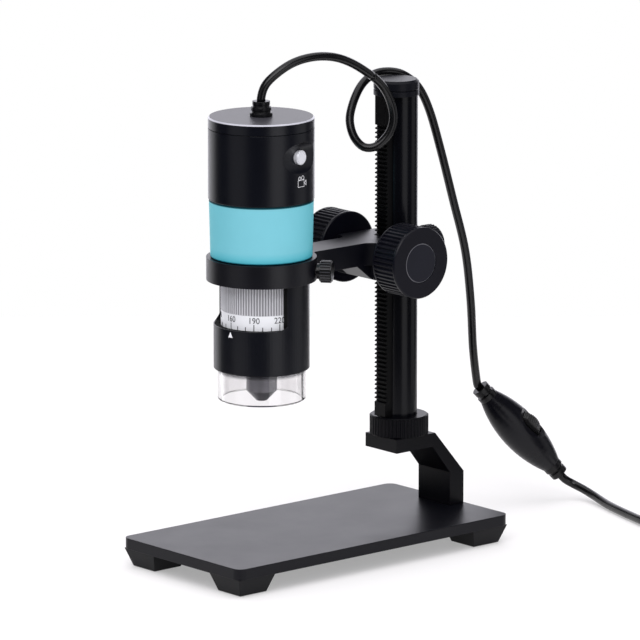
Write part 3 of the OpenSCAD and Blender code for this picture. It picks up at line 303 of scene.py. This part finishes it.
# Each finish starts with its name, colour, roughness and specular level.
M = {
    "base": finish("base_coat", (0.0024, 0.0024, 0.0050), 0.36, 0.19, tone=0.05,
                   rough_spread=0.015, grain=0.2, grain_scale=3200, edge=0.0004),
    "anodised": finish("anodised_black", (0.0022, 0.0023, 0.0050), 0.38, 0.37, tone=0.1,
                       rough_spread=0.02, grain=0.15, edge=0.00025),
    "column": finish("column_black", (0.0018, 0.0020, 0.0034), 0.23, 0.2, tone=0.1,
                     rough_spread=0.02, grain=0.06, stretch=(1, 1, 0.08), edge=0.0002),
    "knob": finish("knob_black", (0.0030, 0.0030, 0.0066), 0.33, 0.24, tone=0.1, edge=0.0002),
    # Knurled thumb screw: its crests are painted light as a painted highlight, its grooves dark as
    # painted shade.
    "thumb": ridged("thumb_black", (0.0010, 0.0010, 0.0018), (0.034, 0.034, 0.038),
                    THUMB_AT, THUMB_AXIS, 3.62 * MM, 3.88 * MM, 0.3, 0.35, edge=0.0001),
    # Knob discs: the thin light grey ring at their edge is a painted highlight on their chamfer.
    "inset": ridged("inset_dark", (0.0066, 0.0070, 0.0130), (0.15, 0.15, 0.165),
                    PINION_AT, PINION_AXIS, 6.55 * MM, 6.58 * MM, 0.3, 0.3),
    "dark_steel": finish("dark_steel", (0.012, 0.012, 0.013), 0.4, 0.4, tone=0.15, grain=0.1,
                         edge=0.0001),
    "rubber": finish("foot_rubber", (0.0044, 0.0045, 0.0060), 0.5, 0.16, grain=0.35,
                     grain_scale=1800, edge=0.0005),
    "bracket": finish("bracket_black", (0.0020, 0.0020, 0.0034), 0.36, 0.13, tone=0.05,
                      rough_spread=0.015, grain=0.2, grain_scale=3200, edge=0.0003),
    "satin": finish("cap_satin", (0.0052, 0.0056, 0.0080), 0.34, 0.1, tone=0.08,
                    rough_spread=0.02, grain=0.05, edge=0.0002),
    "rack": finish("rack_black", (0.0012, 0.0012, 0.0016), 0.4, 0.12, tone=0.2, edge=0.0001),
    "steel": finish("bright_steel", (0.56, 0.57, 0.59), 0.3, 0.5, metal=1.0, tone=0.08,
                    grain=0.1, edge=0.0001),
    "brass": finish("bush_brass", (0.60, 0.43, 0.20), 0.28, 0.5, metal=1.0, tone=0.1,
                    grain=0.1, edge=0.0001),
    "housing": finish("housing_black", HOUSING, 0.31, 0.3, tone=0.08, rough_spread=0.02,
                      grain=0.18, grain_scale=3400, edge=0.00025),
    # Lower body: inside the shell the black is darker and matte; the darker colour is painted
    # shade on the window's jambs.
    "body": ridged("body_black", (0.0008, 0.0008, 0.0012), HOUSING, SCOPE_FOOT, UPRIGHT,
                   16.0 * MM, 16.3 * MM, 0.31, 0.3, rough_in=0.95, edge=0.00025),
    "cap": rim_cap("cap_black"),
    "sleeve": finish("sleeve_blue_green", (0.242, 0.525, 0.598), 0.52, 0.06, tone=0.03,
                     tone_scale=45, grain=0.16, grain_scale=3000, edge=0.0003, coat=1.0,
                     coat_rough=0.5, bands=(sleeve_low, sleeve_high, sleeve_colour_and_shade_stops)),
    "nose": clear("nose_clear", (0.89, 0.88, 0.885), 0.02, 1.49, NOSE_SHOULDER, 38.0),
    "boot": finish("boot_rubber", (0.0022, 0.0022, 0.0030), 0.3, 0.3, grain=0.2, edge=0.0005),
    "board": finish("board_green", (0.03, 0.17, 0.07), 0.35, 0.5, tone=0.2, tone_scale=400,
                    grain=0.2),
    "white_board": finish("board_white", (0.80, 0.79, 0.75), 0.4, 0.5, tone=0.03, grain=0.1),
    "chip": finish("chip_dark", (0.03, 0.03, 0.035), 0.4, 0.5, grain=0.2),
    "diode": finish("diode_clear", (0.86, 0.83, 0.66), 0.12, 0.6, tone=0.05, grain=0.05),
    "button": finish("button_silver", (0.80, 0.81, 0.84), 0.3, 0.5, metal=0.35, tone=0.05,
                     grain=0.1, edge=0.0003),
    "inner": finish("inner_black", (0.02, 0.02, 0.022), 0.6, 0.3, grain=0.2),
    # Focus dial: its flute grooves are painted darker than the crests, as painted shade.
    "dial": ridged("dial_grey", (0.25, 0.25, 0.26), (0.58, 0.58, 0.60), SCOPE_FOOT, UPRIGHT,
                   13.84 * MM, 14.04 * MM, 0.42, 0.4),
    "scale": finish("scale_white", (0.80, 0.81, 0.82), 0.42, 0.45, tone=0.02, grain=0.08,
                    edge=0.0001),
    "barrel": finish("barrel_grey", (0.112, 0.108, 0.128), 0.34, 0.5, metal=0.5, tone=0.1,
                     grain=0.1, edge=0.0002),
    "lens": clear("lens_glass", (0.90, 0.95, 0.98), 0.01, 1.52),
    "cord": finish("cord_black", (0.0028, 0.0028, 0.0033), 0.25, 0.35, tone=0.15,
                   tone_scale=120, rough_spread=0.04, grain=0.15, grain_scale=1500),
    "tie": finish("tie_black", (0.012, 0.012, 0.013), 0.5, 0.4, grain=0.3, grain_scale=1500,
                  edge=0.0003),
    "dimmer": finish("dimmer_black", (0.0026, 0.0026, 0.0048), 0.3, 0.26, grain=0.2,
                     edge=0.0002),
    "wheel": finish("wheel_black", (0.0035, 0.0035, 0.004), 0.22, 0.5, grain=0.1, edge=0.0001),
    "plug_steel": finish("plug_nickel", (0.66, 0.67, 0.69), 0.25, 0.5, metal=1.0, tone=0.06,
                         grain=0.08),
    "tongue": finish("tongue_white", (0.80, 0.80, 0.78), 0.45, 0.4, tone=0.03, grain=0.1),
    "print": finish("print_white", (0.86, 0.86, 0.87), 0.5, 0.3, tone=0.03, grain=0.1),
    "ink": finish("print_grey", (0.025, 0.025, 0.029), 0.5, 0.3, tone=0.1, grain=0.1),
}
# The sleeve's clear blue-green skin lies over a paler core.
skin = M["sleeve"].node_tree.nodes["Principled BSDF"]
skin.inputs["Coat IOR"].default_value = 1.1
skin.inputs["Coat Tint"].default_value = (0.77, 0.985, 0.985, 1)

LOOKS = {
    "base": ["base_plate"],
    "bracket": ["column_bracket", "column_nut"],
    "satin": ["column_cap"],
    "anodised": ["holder_arm"],
    "column": ["column"],
    "knob": ["knob_near", "knob_far", "lock_knob"],
    "thumb": ["ring_knob"],
    "inset": ["knob_discs"],
    "rubber": ["feet"],
    "rack": ["rack"],
    "steel": ["foot_screws", "bracket_screws", "pinion_shaft"],
    "dark_steel": ["column_screw", "lock_stud", "ring_stud"],
    "brass": ["pinion_bushes"],
    "housing": ["upper_housing"],
    "body": ["lower_body"],
    "cap": ["top_cap"],
    "sleeve": ["grip_sleeve"],
    "nose": ["clear_nose"],
    "boot": ["cord_boot", "dimmer_boots"],
    "board": ["main_board", "button_board", "dimmer_board"],
    "white_board": ["light_board"],
    "chip": ["image_sensor", "push_switch"],
    "diode": ["light_diodes"],
    "button": ["capture_button"],
    "inner": ["barrel_guide", "dial_retainer"],
    "dial": ["focus_dial"],
    "scale": ["dial_scale"],
    "barrel": ["lens_barrel"],
    "lens": ["front_lens"],
    "cord": ["cord_upper", "cord_lower", "cord_coil"],
    "tie": ["cord_tie"],
    "dimmer": ["dimmer_front", "dimmer_back", "plug_body"],
    "wheel": ["dimmer_wheel"],
    "plug_steel": ["plug_shell"],
    "tongue": ["plug_tongue"],
}
for look, names in LOOKS.items():
    for name in names:
        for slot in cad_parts[name].material_slots:
            slot.material = M[look]


# Cords

def mesh_piece(name, verts, faces, material, body=None, smooth=True):
    mesh = bpy.data.meshes.new(name)
    mesh.from_pydata([tuple(v) for v in verts], [], faces)
    mesh.validate()
    mesh.update()
    for polygon in mesh.polygons:
        polygon.use_smooth = smooth
    mesh.materials.append(material)
    piece = bpy.data.objects.new(name, mesh)
    scene.collection.objects.link(piece)
    if body:
        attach(piece, body)
    return piece


def spline(points, step):
    """Smooth line through the points, with a point about every step."""
    out = []
    for i in range(len(points) - 1):
        a = points[max(i - 1, 0)]
        b, c = points[i], points[i + 1]
        d = points[min(i + 2, len(points) - 1)]
        count = max(1, round((c - b).length / step))
        for k in range(count):
            t = k / count
            out.append(0.5 * (2 * b + (c - a) * t + (2 * a - 5 * b + 4 * c - d) * t * t
                              + (3 * b - a - 3 * c + d) * t ** 3))
    return out + [points[-1]]


def relaxed(points, passes):
    """The same line with its corners eased. Its first two points and its last stay."""
    for _ in range(passes):
        eased = [(a + 2 * b + c) / 4 for a, b, c in zip(points[1:], points[2:], points[3:])]
        points = points[:2] + eased + points[-1:]
    return points


def tube(name, points, radius, sides, material, body=None):
    """Round tube along the points, closed at both ends."""
    verts, faces = [], []
    last = len(points) - 1
    normal = None
    for i, point in enumerate(points):
        tangent = (points[min(i + 1, last)] - points[max(i - 1, 0)]).normalized()
        if normal is None:
            normal = tangent.orthogonal()
        normal = (normal - normal.dot(tangent) * tangent).normalized()
        side = tangent.cross(normal)
        for k in range(sides):
            a = 2 * math.pi * k / sides
            verts.append(point + radius * (math.cos(a) * normal + math.sin(a) * side))
    for i in range(last):
        for k in range(sides):
            a, b = i * sides + k, i * sides + (k + 1) % sides
            faces.append((a, b, b + sides, a + sides))
    faces.append(tuple(range(sides - 1, -1, -1)))
    faces.append(tuple(range(last * sides, (last + 1) * sides)))
    return mesh_piece(name, verts, faces, material, body)


def mm(points):
    return [Vector(p) * MM for p in points]


def ease(t):
    t = max(0, min(1, t))
    return t * t * (3 - 2 * t)


CORD_R = 1.5 * MM
CORD_SIDES, LEAD_SIDES = 20, 16
CORD_STEP, LEAD_STEP = 1.2 * MM, 1.5 * MM
EASING = 12

# The dimmer's middle and the direction of its length
DIMMER = Vector((-12.2, 106.8, 25.8))
LEAN, HEADING = math.radians(138), math.radians(64.5)
ALONG = Vector((math.sin(LEAN) * math.cos(HEADING), math.sin(LEAN) * math.sin(HEADING),
                math.cos(LEAN)))
DIMMER_HALF = 22.5

# From the boot over the arch, round the loop and behind the cap to the dimmer
upper = mm([
    (0, SCOPE_Y, 163.2), (0, SCOPE_Y, 166.2), (0.4, -24.4, 168.6), (2, -20.5, 172),
    (4, -15.5, 175.5), (6, -7.5, 177.2), (7.5, 1, 176.5), (8, 9.5, 173.2), (8, 18, 168),
    (7.3, 23.8, 163.3), (7, 27.3, 158), (7, 28.8, 152), (6.2, 27.5, 146.5), (4, 23.8, 142.2),
    (1, 20.5, 141.8), (-2, 18.6, 145.2), (-4.5, 18.8, 150.5), (-6.2, 21.5, 155.5),
    (-8, 26, 160.2), (-9.6, 31, 163), (-10.2, 36.5, 164.6), (-8.6, 42, 164.6), (-6.2, 46, 163),
    (-4.8, 51, 158.4), (-4.55, 55.85, 149.8), (-5.1, 61.5, 135.5), (-6.35, 68.6, 116.5),
    (-8, 76, 97), (-11, 81.5, 77.5), (-15.2, 86.6, 58.5),
    DIMMER - (DIMMER_HALF + 1.5) * ALONG, DIMMER - DIMMER_HALF * ALONG])
LOOP_STARTS = upper[8]
line = spline(upper, CORD_STEP)
split = min(range(len(line)), key=lambda i: (line[i] - LOOP_STARTS).length)
rise, drop = relaxed(line[:split + 1], EASING), line[split:]

# From the dimmer along the table into a coil of four layers, and out of it to the plug
COIL = Vector((66, 131, 0))
COIL_R, PITCH, LOOPS, START, LIFT = 13.0, 3.5, 8.5, math.radians(-105), 1.1
TURN_POINTS = 40
STRAIGHT = 3
TAIL_L, TAIL_POINTS, PLUG_Z = 34, 12, 4


def coil_point(t):
    """Place on the coil after t turns. They run in, out, in and out, each layer a pitch higher."""
    r = COIL_R + PITCH * (t - 6 if t > 6 else abs(t % 4 - 2))
    a = START + 2 * math.pi * t
    z = LIFT + CORD_R / MM + PITCH * (ease(2 * t - 3.5) + ease(2 * t - 7.5) + ease(2 * t - 11.5))
    return COIL + Vector((r * math.cos(a), r * math.sin(a), z))


way_in = Vector((-math.sin(START), math.cos(START), 0))
coil_start = coil_point(0) - STRAIGHT * way_in
coil_end = coil_point(LOOPS)
low_run = spline(mm([
    DIMMER + DIMMER_HALF * ALONG, DIMMER + (DIMMER_HALF + 3) * ALONG, (-2.6, 124.7, 4.9),
    (1.8, 125.4, 3.7), (8.5, 124.6, 2.5), (17, 122.2, 1.7), (26, 119.4, 1.6), (36, 116.6, 1.6),
    (46, 114, 1.8), coil_start - STRAIGHT * way_in, coil_start]), LEAD_STEP)
turns = [coil_point(i / TURN_POINTS) for i in range(int(LOOPS * TURN_POINTS) + 1)]
tail = []
for i in range(1, TAIL_POINTS + 1):
    sink = (PLUG_Z - coil_end.z) * ease(i / TAIL_POINTS)
    tail.append(coil_end - TAIL_L * i / TAIL_POINTS * way_in + Vector((0, 0, sink)))
lead = low_run + mm(turns + tail + [tail[-1] - STRAIGHT * way_in])

cord_rise = tube("cord_rise", rise, CORD_R, CORD_SIDES, M["cord"])
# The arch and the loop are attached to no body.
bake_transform(cord_rise)
cord_drop = tube("cord_drop", drop, CORD_R, CORD_SIDES, M["cord"])
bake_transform(cord_drop)
cord_lead = tube("cord_lead", lead, CORD_R, LEAD_SIDES, M["cord"], "stand")
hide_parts("cord_upper")
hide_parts("cord_lower", "cord_coil")


# Marks: drawn flat in millimetres, then laid round the microscope's axis

AXIS = Vector((0, SCOPE_Y, 0))
MARK_LIFT, MARK_THICK = 0.03, 0.03
SCALE_R, SCALE_Z = 14.05, 85.5
NUMBERS = range(10, 250, 30)
NUMBER_STEP, NUMBER_TALL, NUMBER_Z, NUMBER_NARROW = 37.0, 2.1, 2.75, 0.92
FRONT_NUMBER, FRONT_ANGLE = 5, 2.0
TICKS, TICK_LONG, TICK_SHORT, TICK_WIDE, TICK_Z = 22, 2.4, 1.45, 0.28, 0.02


def wrap(name, verts, faces, radius, angle, z, material, body):
    """Thin relief on a cylinder: x runs round it from the angle, y up from z.

    The angle is in degrees from -Y towards +X.
    """
    count = len(verts)
    out = []
    for level in (MARK_LIFT, MARK_LIFT + MARK_THICK):
        for x, y in verts:
            a = math.radians(angle) + x / radius
            r = radius + level
            out.append((AXIS + Vector((r * math.sin(a), -r * math.cos(a), z + y))) * MM)
    solid = [tuple(i + count for i in f) for f in faces]
    solid += [tuple(reversed(f)) for f in faces]
    edges = dict.fromkeys((a, b) for f in faces for a, b in zip(f, f[1:] + f[:1]))
    for a, b in edges:
        if (b, a) not in edges:
            solid.append((a, b, b + count, a + count))
    return mesh_piece(name, out, solid, material, body, smooth=False)


def strip(x0, y0, x1, y1, width):
    """Flat bar from one point to another, cut square."""
    d = Vector((x1 - x0, y1 - y0)).normalized() * width / 2
    n = Vector((-d.y, d.x))
    a, b = Vector((x0, y0)), Vector((x1, y1))
    return [tuple(a - n), tuple(b - n), tuple(b + n), tuple(a + n)]


def gather(shapes):
    verts, faces = [], []
    for shape in shapes:
        faces.append(tuple(range(len(verts), len(verts) + len(shape))))
        verts += shape
    return verts, faces


def figures(text, tall):
    """Flat outline of a number, centred, in millimetres and slightly narrowed."""
    curve = bpy.data.curves.new("figures", "FONT")
    curve.body = text
    curve.align_x = "CENTER"
    curve.size = 1.0
    curve.resolution_u = 3
    holder = bpy.data.objects.new("figures", curve)
    scene.collection.objects.link(holder)
    shape = holder.evaluated_get(bpy.context.evaluated_depsgraph_get())
    mesh = bpy.data.meshes.new_from_object(shape)
    foot = min(v.co.y for v in mesh.vertices)
    k = tall / (max(v.co.y for v in mesh.vertices) - foot)
    verts = [(v.co.x * k * NUMBER_NARROW, (v.co.y - foot) * k) for v in mesh.vertices]
    faces = [tuple(p.vertices) if p.normal.z > 0 else tuple(reversed(p.vertices))
             for p in mesh.polygons]
    bpy.data.objects.remove(holder)
    bpy.data.curves.remove(curve)
    bpy.data.meshes.remove(mesh)
    return verts, faces


def dial_angle(place):
    """Angle on the dial of a number's place in the row of numbers."""
    return FRONT_ANGLE + NUMBER_STEP * (place - FRONT_NUMBER)


for i, number in enumerate(NUMBERS):
    wrap(f"dial_number_{number}", *figures(str(number), NUMBER_TALL), SCALE_R, dial_angle(i),
         SCALE_Z + NUMBER_Z, M["ink"], "dial")
ticks = []
for i in range(TICKS):
    x = math.radians(dial_angle(i / 3)) * SCALE_R
    ticks.append(strip(x, 0, x, TICK_LONG if i % 3 == 0 else TICK_SHORT, TICK_WIDE))
wrap("dial_ticks", *gather(ticks), SCALE_R, 0, SCALE_Z + TICK_Z, M["ink"], "dial")

BODY_R, POINTER_ANGLE, POINTER_Z = 16.55, 9.7, 83.3
POINTER = [(-0.95, 0), (0.95, 0), (0, 1.95)]
wrap("dial_pointer", POINTER, [(0, 1, 2)], BODY_R, POINTER_ANGLE, POINTER_Z, M["print"],
     "microscope")


# Small camera sign under the button: a box, a lens hood, two reels

def outline(ring, width):
    """Mitred line of even width along a closed ring of points."""
    sides = []
    for a, b, c in zip(ring[-1:] + ring[:-1], ring, ring[1:] + ring[:1]):
        d0 = (Vector(b) - Vector(a)).normalized()
        d1 = (Vector(c) - Vector(b)).normalized()
        n = Vector((-d0.y - d1.y, d0.x + d1.x)).normalized()
        n *= width / 2 / max(0.4, n.dot(Vector((-d0.y, d0.x))))
        sides.append((tuple(Vector(b) - n), tuple(Vector(b) + n)))
    return [[p[0], q[0], q[1], p[1]] for p, q in zip(sides, sides[1:] + sides[:1])]


def circle(x, y, radius, sides=14):
    angles = [2 * math.pi * k / sides for k in range(sides)]
    return [(x + radius * math.cos(a), y + radius * math.sin(a)) for a in angles]


SIGN_LINE = 0.14
SIGN_R, SIGN_ANGLE, SIGN_Z = 18.25, 99.0, 135.5
SIGN = [
    [(-1.9, 0.1), (1.1, 0.1), (1.1, 2.4), (-1.9, 2.4)],
    [(1.25, 1.25), (2.3, 0.4), (2.3, 2.1)],
    circle(-1.15, 3.05, 0.55),
    circle(0.4, 3.15, 0.68),
]
sign = [quad for ring in SIGN for quad in outline(ring, SIGN_LINE)]
wrap("record_sign", *gather(sign), SIGN_R, SIGN_ANGLE, SIGN_Z, M["print"], "microscope")


# Stage and light: a small white table in front of a bright backdrop, in a dark room

FLOOR_GLOW = 0.34
BACK = Vector((-0.757, 0.653, 0))  # level, away from the camera
ACROSS = Vector((0.653, 0.757, 0))  # level, to the picture's right
TABLE_HALF, TABLE_NEAR, TABLE_FAR, TABLE_Z = 0.22, -0.18, 0.4, -0.0003
CONE_EDGE, CONE_CORE = 0.62, 0.95
ROOM, BACKDROP, SOFT_FILL = 0.02, 1.9, 0.6
COOL = (0.93, 0.922, 1.0, 1)
WHITE = (1, 1, 1, 1)


def floor_material():
    """White table with a faint glow, seen directly, in gloss and through clear pieces."""
    surface = Surface("stage_white")
    cloud = surface.noise(3.0, 2.0)
    surface.feed("Base Color", surface.ramp(cloud, [(0.3, (0.555, 0.545, 0.535)),
                                                    (0.7, (0.57, 0.56, 0.55))]))
    surface.set({"Roughness": 0.9, "Specular IOR Level": 0.0})
    rays = surface.add("ShaderNodeLightPath").outputs
    seen = surface.largest(rays["Is Camera Ray"], rays["Is Transmission Ray"],
                           rays["Is Glossy Ray"])
    glow = surface.add("ShaderNodeEmission")
    surface.link(surface.spread(seen, 0.0, FLOOR_GLOW, 0, 1), glow.inputs["Strength"])
    both = surface.add("ShaderNodeAddShader")
    surface.link(surface.bsdf.outputs["BSDF"], both.inputs[0])
    surface.link(glow.outputs["Emission"], both.inputs[1])
    surface.link(both.outputs["Shader"], surface.output.inputs["Surface"])
    return surface.material


def studio_world():
    """White to the eye and through clear pieces; gloss sees a backdrop behind the part."""
    world = bpy.data.worlds.new("studio")
    world.use_nodes = True
    sky = Nodes(world.node_tree)
    back = world.node_tree.nodes["Background"]
    rays = sky.add("ShaderNodeLightPath").outputs
    direct = sky.largest(rays["Is Camera Ray"], rays["Is Transmission Ray"])
    facing = sky.add("ShaderNodeVectorMath", {1: BACK}, operation="DOT_PRODUCT")
    sky.link(sky.add("ShaderNodeTexCoord").outputs["Generated"], facing.inputs[0])
    sweep = sky.add("ShaderNodeMapRange", {"From Min": CONE_EDGE, "From Max": CONE_CORE,
                                           "To Min": ROOM, "To Max": BACKDROP},
                    interpolation_type="SMOOTHSTEP")
    sky.link(facing.outputs["Value"], sweep.inputs["Value"])

    strength = sweep.outputs["Result"]
    for mask, level in ((rays["Is Diffuse Ray"], SOFT_FILL), (direct, 1.0)):
        pick = sky.add("ShaderNodeMix", {"B": level}, data_type="FLOAT")
        sky.link(mask, pick.inputs["Factor"])
        sky.link(strength, pick.inputs["A"])
        strength = pick.outputs["Result"]
    sky.link(strength, back.inputs["Strength"])

    tint = sky.add("ShaderNodeMix", {"A": COOL, "B": WHITE}, data_type="RGBA")
    sky.link(direct, tint.inputs["Factor"])
    sky.link(tint.outputs["Result"], back.inputs["Color"])
    return world


def panel(name, place, target, size, power):
    light = bpy.data.lights.new(name, "AREA")
    light.shape = "RECTANGLE"
    light.size, light.size_y = size
    light.energy = power
    light.color = (0.98, 0.975, 1.0)
    lamp = bpy.data.objects.new(name, light)
    lamp.location = place
    aim = Vector(target) - Vector(place)
    lamp.rotation_euler = aim.to_track_quat("-Z", "Y").to_euler()
    scene.collection.objects.link(lamp)


corners = ((-1, TABLE_NEAR), (1, TABLE_NEAR), (1, TABLE_FAR), (-1, TABLE_FAR))
table = [TABLE_HALF * side * ACROSS + reach * BACK + Vector((0, 0, TABLE_Z))
         for side, reach in corners]
floor = mesh_piece("floor", table, [(0, 1, 2, 3)], floor_material(), smooth=False)
scene.world = studio_world()

# Key and top light the part; the low tall panels draw bands on its black cylinders.
LOW = (0, -0.02, 0.0)
panel("key", (0.62, -0.75, 1.05), (0, 0, 0.1), (0.9, 0.9), 10)
panel("right", (1.195, -0.115, 0.0), LOW, (0.7, 1.4), 3.8)
panel("rear_right", (0.69, 0.96, 0.0), LOW, (0.72, 1.4), 1.7)
panel("left", (-1.18, -0.21, 0.0), LOW, (0.5, 1.4), 2.6)
panel("left_front", (-0.06, -1.2, 0.0), LOW, (0.9, 1.4), 1.8)
panel("top", (-0.1, 0.1, 1.2), (0, 0, 0.08), (1.4, 1.4), 10)

scene.view_settings.view_transform = "Standard"
